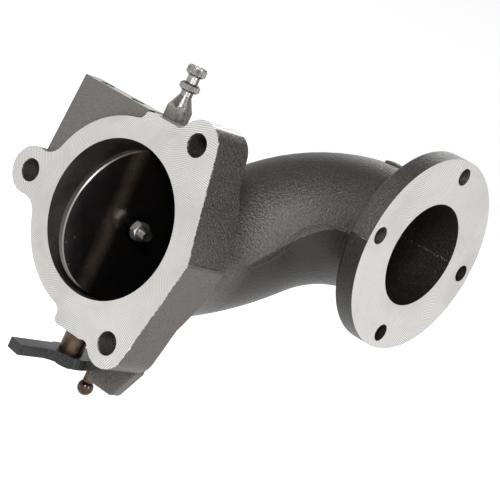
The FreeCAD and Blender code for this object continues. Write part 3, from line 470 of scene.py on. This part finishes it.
def cast_skin(f):
    """Colour, roughness and relief of the sand-cast surface, darker above the mould joint, with painted shade on
    the lower elbow and a painted sheen on the upper elbow.
    """
    grain = f.noise(FINE_GRAIN, 3.0, 0.65)
    coarse = f.noise(COARSE_GRAIN, 3.0, 0.6)
    pits = f.cells(PIT_SCALE)
    cloud = f.noise(CLOUD_SCALE, 3.0, 0.5)
    upper = f.above(f.z, joint_height(f))

    dark = f.mix(f.remap(grain, 0.36, 0.68, 0.0, 1.0), SKIN_DARK, SKIN_DARK_HIGH)
    glint = f.remap(f.times(grain, f.noise(GLINT_GRAIN, 2.0, 0.6)), 0.30, 0.42, 0.0, 0.55)
    dark = f.mix(glint, dark, SKIN_GLINT)
    light = f.mix(f.remap(grain, 0.34, 0.70, 0.0, 1.0), SKIN_LIGHT, SKIN_LIGHT_HIGH)
    colour = f.mix(upper, light, dark)
    colour = f.mix(f.remap(cloud, 0.42, 0.70, 0.0, 0.22), colour, SKIN_CLOUD)

    # Painted shade darkens the elbow below the mould joint and a painted sheen lightens it above, both fading in
    # along Y
    elbow = f.remap(f.y, *ELBOW_SHADING_Y, 0.0, 1.0)
    colour = f.mix(f.times(elbow, f.blend(upper, 0.85, 0.0)), colour, ELBOW_SHADE)
    colour = f.mix(f.times(elbow, f.blend(upper, 0.0, 0.20)), colour, ELBOW_SHEEN)
    front_start, front_end = FRONT_TONE_Y
    front = f.both(f.below(f.ny, -0.7), f.below(f.y, front_end), f.above(f.y, front_start))
    colour = f.mix(f.times(front, 0.38), colour, FRONT_TONE)

    relief = f.add(f.times(grain, 0.55), f.times(coarse, 1.1), f.times(pits, 0.45))
    relief = f.times(relief, f.blend(upper, 0.62, 1.0))
    rough = f.remap(grain, 0.3, 0.7, 0.28, 0.52)
    return colour, rough, relief


def milled_metal(f, pipe_face):
    """Colour of the milled faces, and the height of their cutter marks."""
    valve_marks = cutter_marks(f, f.x, f.z, (0.0, 0.0), VALVE_FACE_CUTS, VALVE_FACE_SWEEP)
    pipe_centre = (PIPE_CENTRE.y, PIPE_CENTRE.z)
    pipe_marks = cutter_marks(f, f.y, f.z, pipe_centre, PIPE_FACE_CUTS, PIPE_FACE_SWEEP)
    marks = f.blend(pipe_face, valve_marks, pipe_marks)
    streaks = f.noise(24.0, 5.0, 0.62, distortion=0.6)
    specks = f.noise(900.0, 2.0, 0.6)
    colour = f.mix(f.remap(marks, -1.0, 1.0, 0.0, 1.0), MILLED_LOW, MILLED_HIGH)
    colour = f.mix(f.remap(streaks, 0.42, 0.62, 0.0, 0.65), colour, MILLED_DULL)
    colour = f.mix(f.remap(specks, 0.62, 0.74, 0.0, 0.5), colour, MILLED_SPECK)
    return colour, marks


def with_bore(f, skin):
    """The skin's colour, with the machined tone of the valve bore inside it."""
    near_bore = f.below(f.radius_from(f.x, f.z), BORE_RADIUS + INSIDE_REACH)
    inside = f.both(near_bore, f.below(f.y, THROAT_END_Y))
    tone = f.mix(f.remap(f.noise(60.0, 3.0), 0.3, 0.7, 0.0, 1.0), BORE_LOW, BORE_HIGH)
    return f.mix(inside, skin, tone)


def with_pipe(f, skin):
    """The skin's colour, with painted shade on the walls and the core's sparkling joint line inside the pipe."""
    radius = f.radius_from(f.y, f.z, PIPE_CENTRE.y, PIPE_CENTRE.z)
    inside = f.both(f.below(radius, PIPE_BORE_RADIUS + INSIDE_REACH), f.above(f.x, PASSAGE_START_X))
    sparks = f.remap(f.noise(1100.0, 2.0, 0.6), 0.52, 0.66, 0.0, 1.0)
    core_joint = f.times(f.near(f.z, PIPE_CENTRE.z, CORE_JOINT_REACH), 0.85)
    # Painted shade on the pipe's inner walls, flecked with sparks that gather on the core joint
    tone = f.mix(f.times(sparks, f.add(core_joint, 0.12)), PASSAGE_SHADE, PASSAGE_SPARK)
    return f.mix(inside, skin, tone)


def casting_finish():
    """Sand-cast iron with milled faces, bored holes and painted shade in the passages."""
    f = Finish("cast_iron_with_milled_faces")
    valve_face, pipe_face, tops = milled_masks(f)
    milled = f.either(valve_face, pipe_face, tops)
    skin, skin_rough, skin_relief = cast_skin(f)
    bright, marks = milled_metal(f, pipe_face)
    skin = with_pipe(f, with_bore(f, skin))
    colour = f.mix(milled, skin, bright)
    rough = f.blend(milled, skin_rough, f.remap(marks, -1.0, 1.0, 0.50, 0.36))
    metal = f.blend(milled, 0.42, 0.55)
    relief = f.blend(milled, skin_relief, f.times(marks, 0.075))
    return f.set(colour=colour, roughness=rough, metal=metal, normal=f.bump(relief, SKIN_RELIEF, 0.9))


# Disc: black and glossy with soot, a browner band, faint spots on the left and a turned rim
DISC_BLACK = (0.0035, 0.003, 0.0028)
DISC_STAIN = (0.032, 0.024, 0.018)
DISC_SPOT = (0.05, 0.045, 0.04)
DISC_RIM_TONE = (0.22, 0.205, 0.19)
DISC_EDGE_TONE = (0.07, 0.064, 0.058)
BAND_OFFSET = 14.5 * MM
BAND_CORE = 1.0 * MM
BAND_REACH = 7.0 * MM
SPOTS_FROM = -12.0 * MM
SPOTS_FULL = -30.0 * MM
EDGE_REACH = 0.1 * MM


def disc_finish(origin):
    """Sooty disc with a stained band, faint spots and a bright chamfer, placed from the node's origin."""
    f = Finish("sooty_disc")
    centre = SHAFT_AXIS - origin
    across_x = f.times(f.math("SUBTRACT", f.x, centre.x), DISC_WIDTH.x)
    across_y = f.times(f.math("SUBTRACT", f.y, centre.y), DISC_WIDTH.y)
    across = f.add(across_x, across_y)
    radius = f.radius_from(across, f.z, 0.0, centre.z)
    rim = f.above(radius, DISC_RIM_RADIUS)
    cloud = f.noise(70.0, 4.0, 0.55)
    spots = f.remap(f.cells(130.0), 0.06, 0.13, 1.0, 0.0)
    left_side = f.remap(across, SPOTS_FROM, SPOTS_FULL, 0.0, 1.0)
    from_band = f.math("ABSOLUTE", f.add(across, BAND_OFFSET))
    band = f.remap(from_band, BAND_CORE, BAND_REACH, 1.0, 0.0)
    band = f.times(band, f.remap(cloud, 0.35, 0.65, 0.45, 1.0))
    face = f.mix(band, DISC_BLACK, DISC_STAIN)
    face = f.mix(f.times(f.times(spots, left_side), 0.6), face, DISC_SPOT)
    edge_tone = f.mix(f.above(radius, DISC_RADIUS - EDGE_REACH), DISC_RIM_TONE, DISC_EDGE_TONE)
    colour = f.mix(rim, face, edge_tone)
    rough = f.blend(rim, f.remap(cloud, 0.3, 0.7, 0.16, 0.30), 0.42)
    metal = f.blend(rim, 0.25, 1.0)
    return f.set(colour=colour, roughness=rough, metal=metal, normal=f.bump(cloud, 0.1 * MM, 0.3))


# Other metals
METAL_GRAIN = 400.0
METAL_CLOUD = METAL_GRAIN / 9
LUBRICATOR_DARK = (0.17, 0.16, 0.15)
LUBRICATOR_LIGHT = (0.44, 0.42, 0.40)
LUBRICATOR_ROUGHNESS = 0.27
HEXAGON_TONE = (0.17, 0.155, 0.14)
LATHE_RING_SPACING = 0.35 * MM
TINT_BROWN = (0.016, 0.010, 0.007)
TINT_BRONZE = (0.075, 0.050, 0.034)
TINT_STRAW = (0.22, 0.165, 0.12)
LEVER_DARK = (0.009, 0.010, 0.010)
LEVER_LIGHT = (0.032, 0.034, 0.033)
LEVER_WORN = (0.11, 0.11, 0.105)


def plain_metal(name, dark, light, roughness, metal=1.0):
    """A metal with fine variation of colour and roughness."""
    f = Finish(name)
    grain = f.noise(METAL_GRAIN, 4.0, 0.6)
    broad = f.noise(METAL_CLOUD, 3.0, 0.5)
    share = f.remap(f.times(f.add(grain, broad), 0.5), 0.35, 0.65, 0.0, 1.0)
    colour = f.mix(share, dark, light)
    rough = f.remap(broad, 0.3, 0.7, roughness * 0.8, roughness * 1.25)
    return f.set(colour=colour, roughness=rough, metal=metal, normal=f.bump(grain, 0.05 * MM, 0.5))


def lubricator_finish():
    """Lathe-turned steel with fine rings along Z, and a duller hexagon at its foot."""
    f = Finish("turned_steel")
    rings = f.math("SINE", f.times(f.z, 2 * math.pi / LATHE_RING_SPACING))
    grain = f.noise(260.0, 4.0, 0.6)
    share = f.add(f.remap(rings, -1.0, 1.0, 0.0, 0.35), f.remap(grain, 0.3, 0.7, 0.0, 0.65))
    colour = f.mix(share, LUBRICATOR_DARK, LUBRICATOR_LIGHT)
    colour = f.mix(f.times(f.below(f.z, HEXAGON_TOP), 0.45), colour, HEXAGON_TONE)
    rough = f.remap(grain, 0.3, 0.7, LUBRICATOR_ROUGHNESS * 0.8, LUBRICATOR_ROUGHNESS * 1.3)
    return f.set(colour=colour, roughness=rough, metal=1.0, normal=f.bump(rings, 0.02 * MM, 0.6))


def shaft_finish():
    """Shaft steel browned by heat, strawy in patches."""
    f = Finish("heat_tinted_shaft")
    streak = f.noise(220.0, 4.0, 0.6, place=f.stretched(1.0, 1.0, 0.25))
    broad = f.noise(60.0, 3.0, 0.5)
    colour = f.mix(f.remap(streak, 0.35, 0.65, 0.0, 1.0), TINT_BROWN, TINT_BRONZE)
    colour = f.mix(f.remap(broad, 0.5, 0.7, 0.0, 0.5), colour, TINT_STRAW)
    rough = f.remap(streak, 0.3, 0.7, 0.28, 0.46)
    return f.set(colour=colour, roughness=rough, metal=1.0, normal=f.bump(streak, 0.04 * MM, 0.5))


def lever_finish():
    """Phosphated lever plate, a little paler where handling has rubbed it."""
    f = Finish("phosphated_lever")
    grain = f.noise(700.0, 3.0, 0.6)
    worn = f.noise(110.0, 4.0, 0.6)
    colour = f.mix(f.remap(grain, 0.35, 0.65, 0.0, 1.0), LEVER_DARK, LEVER_LIGHT)
    colour = f.mix(f.remap(worn, 0.60, 0.74, 0.0, 0.6), colour, LEVER_WORN)
    rough = f.remap(grain, 0.3, 0.7, 0.34, 0.52)
    return f.set(colour=colour, roughness=rough, metal=0.6, normal=f.bump(grain, 0.08 * MM, 0.6))


def dress(names, material):
    """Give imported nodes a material."""
    for name in names:
        item = frame["nodes"][name]
        item.data.materials.clear()
        item.data.materials.append(material)


# Added pieces: shared steps
def finish_piece(shape, name, material, smooth=True):
    """Write a finished mesh into a new object with one material."""
    bmesh.ops.remove_doubles(shape, verts=shape.verts, dist=1e-6)
    bmesh.ops.recalc_face_normals(shape, faces=shape.faces)
    for face in shape.faces:
        face.smooth = smooth
    mesh = bpy.data.meshes.new(name)
    shape.to_mesh(mesh)
    shape.free()
    mesh.materials.append(material)
    piece = bpy.data.objects.new(name, mesh)
    bpy.context.scene.collection.objects.link(piece)
    return piece


def tube_along(shape, stations, segments=8):
    """Join rings, each given as a placement matrix, into a closed tube."""
    rings = []
    for matrix in stations:
        made = bmesh.ops.create_circle(shape, segments=segments, radius=1.0, matrix=matrix)
        rings.append({edge for vert in made["verts"] for edge in vert.link_edges})
    for first, second in zip(rings, rings[1:]):
        bmesh.ops.bridge_loops(shape, edges=list(first | second))
    for ring in (rings[0], rings[-1]):
        bmesh.ops.contextual_create(shape, geom=list(ring))


def ring_place(centre, along, out, half_width, half_height):
    """Placement of a unit circle turned into an ellipse across a path."""
    side = along.cross(out).normalized()
    turn = Matrix((side * half_width, out * half_height, along)).transposed().to_4x4()
    return Matrix.Translation(centre) @ turn


# Mould joint and gate mark on the casting
STEPS_PER_BEND = 14
FIRST_JOINT_STEP = 9
BEAD_START_SHARE = 0.12
BEAD_GROWTH_STEPS = 12


def elbow_path():
    """Points and directions along the elbow's two bends."""
    first, second = ELBOW_CORNERS
    joint = (first + second) / 2
    reach = (second - first).length / 2
    start = first - Vector((0, reach, 0))
    end = second + Vector((reach, 0, 0))
    found = []
    for begin, corner, finish in ((start, first, joint), (joint, second, end)):
        incoming = (corner - begin).normalized()
        outgoing = (finish - corner).normalized()
        turn = incoming.angle(outgoing)
        axis = incoming.cross(outgoing).normalized()
        radius = reach / math.tan(turn / 2)
        centre = begin + axis.cross(incoming) * radius
        for step in range(STEPS_PER_BEND):
            part = Matrix.Rotation(turn * step / STEPS_PER_BEND, 3, axis)
            found.append((centre + part @ (begin - centre), part @ incoming))
    found.append((end, Vector((1, 0, 0))))
    return found


def mould_joint_bead(name, side, material):
    """Raised line left by the mould joint along one side of the elbow."""
    path = elbow_path()[FIRST_JOINT_STEP:]
    stations = []
    for index, (place, along) in enumerate(path):
        level = along.cross(UP).normalized() * side
        drop = JOINT_DROP * side * index / len(path)
        out = Matrix.Rotation(drop, 3, along) @ level
        stations.append((place + out * ELBOW_RADIUS, out))
    half_width, height = ELBOW_BEAD
    spots = []
    for index, (place, out) in enumerate(stations):
        before = stations[max(index - 1, 0)][0]
        after = stations[min(index + 1, len(stations) - 1)][0]
        growth = math.sin(math.pi * min(0.5, BEAD_START_SHARE + index / BEAD_GROWTH_STEPS))
        spots.append(ring_place(place, (after - before).normalized(), out, half_width, height * growth))
    shape = bmesh.new()
    tube_along(shape, spots)
    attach(finish_piece(shape, name, material), "housing")


def flange_bead(name, start, end, out, material):
    """Raised joint line across the edge of a flange."""
    along = (end - start).normalized()
    spots = [ring_place(spot, along, out, *FLANGE_BEAD) for spot in (start, (start + end) / 2, end)]
    shape = bmesh.new()
    tube_along(shape, spots)
    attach(finish_piece(shape, name, material), "housing")


def pipe_flange_bead(material):
    front_y = PIPE_CENTRE.y - PIPE_FLANGE_RADIUS
    start, end = [Vector((x, front_y, PIPE_CENTRE.z)) for x in RIM_BEAD_X]
    flange_bead("rim_joint", start, end, Vector((0, -1, 0)), material)


def valve_flange_bead(material):
    start, end = [Vector((WALL_BEAD_X, y, WALL_BEAD_Z)) for y in WALL_BEAD_Y]
    flange_bead("wall_joint", start, end, WALL_OUT, material)


def gate_mark(material):
    """Low broken-off stub where the metal was poured, on top of the elbow."""
    shape = bmesh.new()
    bmesh.ops.create_uvsphere(shape, u_segments=32, v_segments=16, radius=1.0)
    bmesh.ops.scale(shape, verts=shape.verts, vec=GATE_MARK_HALF_SIZES)
    bmesh.ops.translate(shape, verts=shape.verts, vec=GATE_MARK_PLACE)
    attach(finish_piece(shape, "gate_mark", material), "housing")


# Knurls, thread and nuts
THREAD_STEPS_PER_TURN = 28
THREAD_HEIGHT = 0.30 * MM
THREAD_HALF_WIDTH = 0.26 * BOLT_THREAD_PITCH
BEVEL_LEAN = math.radians(30)
BEVEL_PLANES = 30


def knurl_ring(name, sizes, material):
    """A closed ring of straight ridges round one of the lubricator's collars."""
    bottom, top, root, tip = sizes
    shape = bmesh.new()
    made = bmesh.ops.create_circle(shape, cap_ends=True, segments=2 * KNURL_TEETH, radius=tip)
    for index, vert in enumerate(made["verts"]):
        if index % 2:
            vert.co *= root / tip
    bmesh.ops.translate(shape, verts=shape.verts, vec=(SHAFT_AXIS.x, SHAFT_AXIS.y, bottom))
    wall = bmesh.ops.extrude_face_region(shape, geom=list(shape.faces))
    lifted = [item for item in wall["geom"] if isinstance(item, bmesh.types.BMVert)]
    bmesh.ops.translate(shape, verts=lifted, vec=(0, 0, top - bottom))
    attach(finish_piece(shape, name, material, smooth=False), "housing")


def bolt_thread(material):
    """The helical thread on the free end of the disc's bolt."""
    across = DISC_NORMAL.orthogonal().normalized()
    rise_per_radian = BOLT_THREAD_PITCH / (2 * math.pi * BOLT_RADIUS)
    count = int(BOLT_THREAD_LENGTH / BOLT_THREAD_PITCH * THREAD_STEPS_PER_TURN)
    stations = []
    for step in range(count + 1):
        turns = step / THREAD_STEPS_PER_TURN
        out = Matrix.Rotation(2 * math.pi * turns, 3, DISC_NORMAL) @ across
        rise = BOLT_THREAD_START + BOLT_THREAD_PITCH * turns
        place = SHAFT_AXIS + DISC_NORMAL * rise + out * BOLT_RADIUS
        along = (DISC_NORMAL.cross(out) + DISC_NORMAL * rise_per_radian).normalized()
        stations.append(ring_place(place, along, out, THREAD_HALF_WIDTH, THREAD_HEIGHT))
    shape = bmesh.new()
    tube_along(shape, stations, segments=6)
    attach(finish_piece(shape, "bolt_thread", material), "rotor")


def trim(shape, spot, normal):
    """Cut off what lies past a plane and close the cut."""
    geom = list(shape.verts) + list(shape.edges) + list(shape.faces)
    made = bmesh.ops.bisect_plane(
        shape, geom=geom, dist=1e-8, plane_co=spot, plane_no=normal, clear_outer=True)
    rim = [item for item in made["geom_cut"] if isinstance(item, bmesh.types.BMEdge)]
    if rim:
        bmesh.ops.contextual_create(shape, geom=rim)


def bevelled_hexagon():
    """A nut along Z from 0 to its height, corners taken off at both ends as on a turned blank."""
    shape = bmesh.new()
    corner = NUT_FLATS / math.sqrt(3)
    middle = Matrix.Translation((0, 0, NUT_HEIGHT / 2))
    bmesh.ops.create_cone(
        shape, cap_ends=True, segments=6, radius1=corner, radius2=corner, depth=NUT_HEIGHT, matrix=middle)
    inner = NUT_FLATS / 2 - NUT_BEVEL
    for end, level in ((1, NUT_HEIGHT), (-1, 0.0)):
        for index in range(BEVEL_PLANES):
            angle = 2 * math.pi * index / BEVEL_PLANES
            outward = Vector((math.cos(angle), math.sin(angle), 0.0))
            normal = outward * math.sin(BEVEL_LEAN) + UP * end * math.cos(BEVEL_LEAN)
            trim(shape, outward * inner + UP * level, normal)
    return shape


def turned_nut(name, node, base, axis, corner, material):
    """A bevelled nut in place of the plain hexagon of a node, with one corner turned as given."""
    shape = bevelled_hexagon()
    turn = Matrix((corner, axis.cross(corner), axis)).transposed().to_4x4()
    bmesh.ops.transform(shape, matrix=Matrix.Translation(base) @ turn, verts=shape.verts)
    piece = finish_piece(shape, name, material, smooth=False)
    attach(piece, "rotor")
    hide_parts(node)


def disc_nut(material):
    base = SHAFT_AXIS + DISC_NORMAL * DISC_NUT_BASE
    turned_nut("disc_nut_turned", "disc_nut", base, DISC_NORMAL, UP, material)


def stud_nut(material):
    low, high = [Vector(corner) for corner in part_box("ball_stud_nut")]
    base = Vector(((low.x + high.x) / 2, (low.y + high.y) / 2, low.z))
    turned_nut("stud_nut_turned", "ball_stud_nut", base, UP, Vector((1, 0, 0)), material)


# The scene
add_camera()
add_floor(cad_box[0][2])
add_light()

cast_iron = casting_finish()
zinc = plain_metal("zinc_plate", (0.42, 0.41, 0.40), (0.80, 0.79, 0.77), 0.34)
dull_zinc = plain_metal("dull_zinc_plate", (0.16, 0.155, 0.15), (0.34, 0.33, 0.32), 0.36)
browned = plain_metal("browned_steel", (0.022, 0.014, 0.010), (0.15, 0.105, 0.075), 0.24)
knurled = plain_metal("knurled_steel", (0.13, 0.125, 0.12), (0.30, 0.29, 0.28), 0.44)
sooty = plain_metal("sooty_steel", (0.008, 0.007, 0.006), (0.030, 0.027, 0.024), 0.34)
bronze = plain_metal("bronze", (0.35, 0.22, 0.1), (0.55, 0.38, 0.2), 0.35)
graphite = plain_metal("graphite", (0.02, 0.02, 0.02), (0.06, 0.06, 0.065), 0.55, metal=0.2)

dress(["housing_casting"], cast_iron)
dress(["butterfly_disc"], disc_finish(frame["nodes"]["butterfly_disc"].matrix_world.translation))
dress(["disc_nut", "disc_dowel_pins"], zinc)
dress(["disc_bolt", "seal_retainer", "ball_stud_nut", "ball_stud_washer"], dull_zinc)
dress(["disc_washer", "disc_lock_washer"], sooty)
dress(["lubricator_body", "lubricator_cap"], lubricator_finish())
dress(["operating_lever", "shaft_retaining_ring"], lever_finish())
dress(["ball_stud"], browned)
dress(["valve_shaft"], shaft_finish())
dress(["upper_bushing", "lower_bushing", "thrust_washer"], bronze)
dress(["shaft_seal_ring"], graphite)

mould_joint_bead("mould_joint_near", 1, cast_iron)
mould_joint_bead("mould_joint_far", -1, cast_iron)
pipe_flange_bead(cast_iron)
valve_flange_bead(cast_iron)
gate_mark(cast_iron)
knurl_ring("collar_knurl", COLLAR_KNURL, knurled)
knurl_ring("cap_knurl", CAP_KNURL, knurled)
bolt_thread(dull_zinc)
disc_nut(zinc)
stud_nut(dull_zinc)
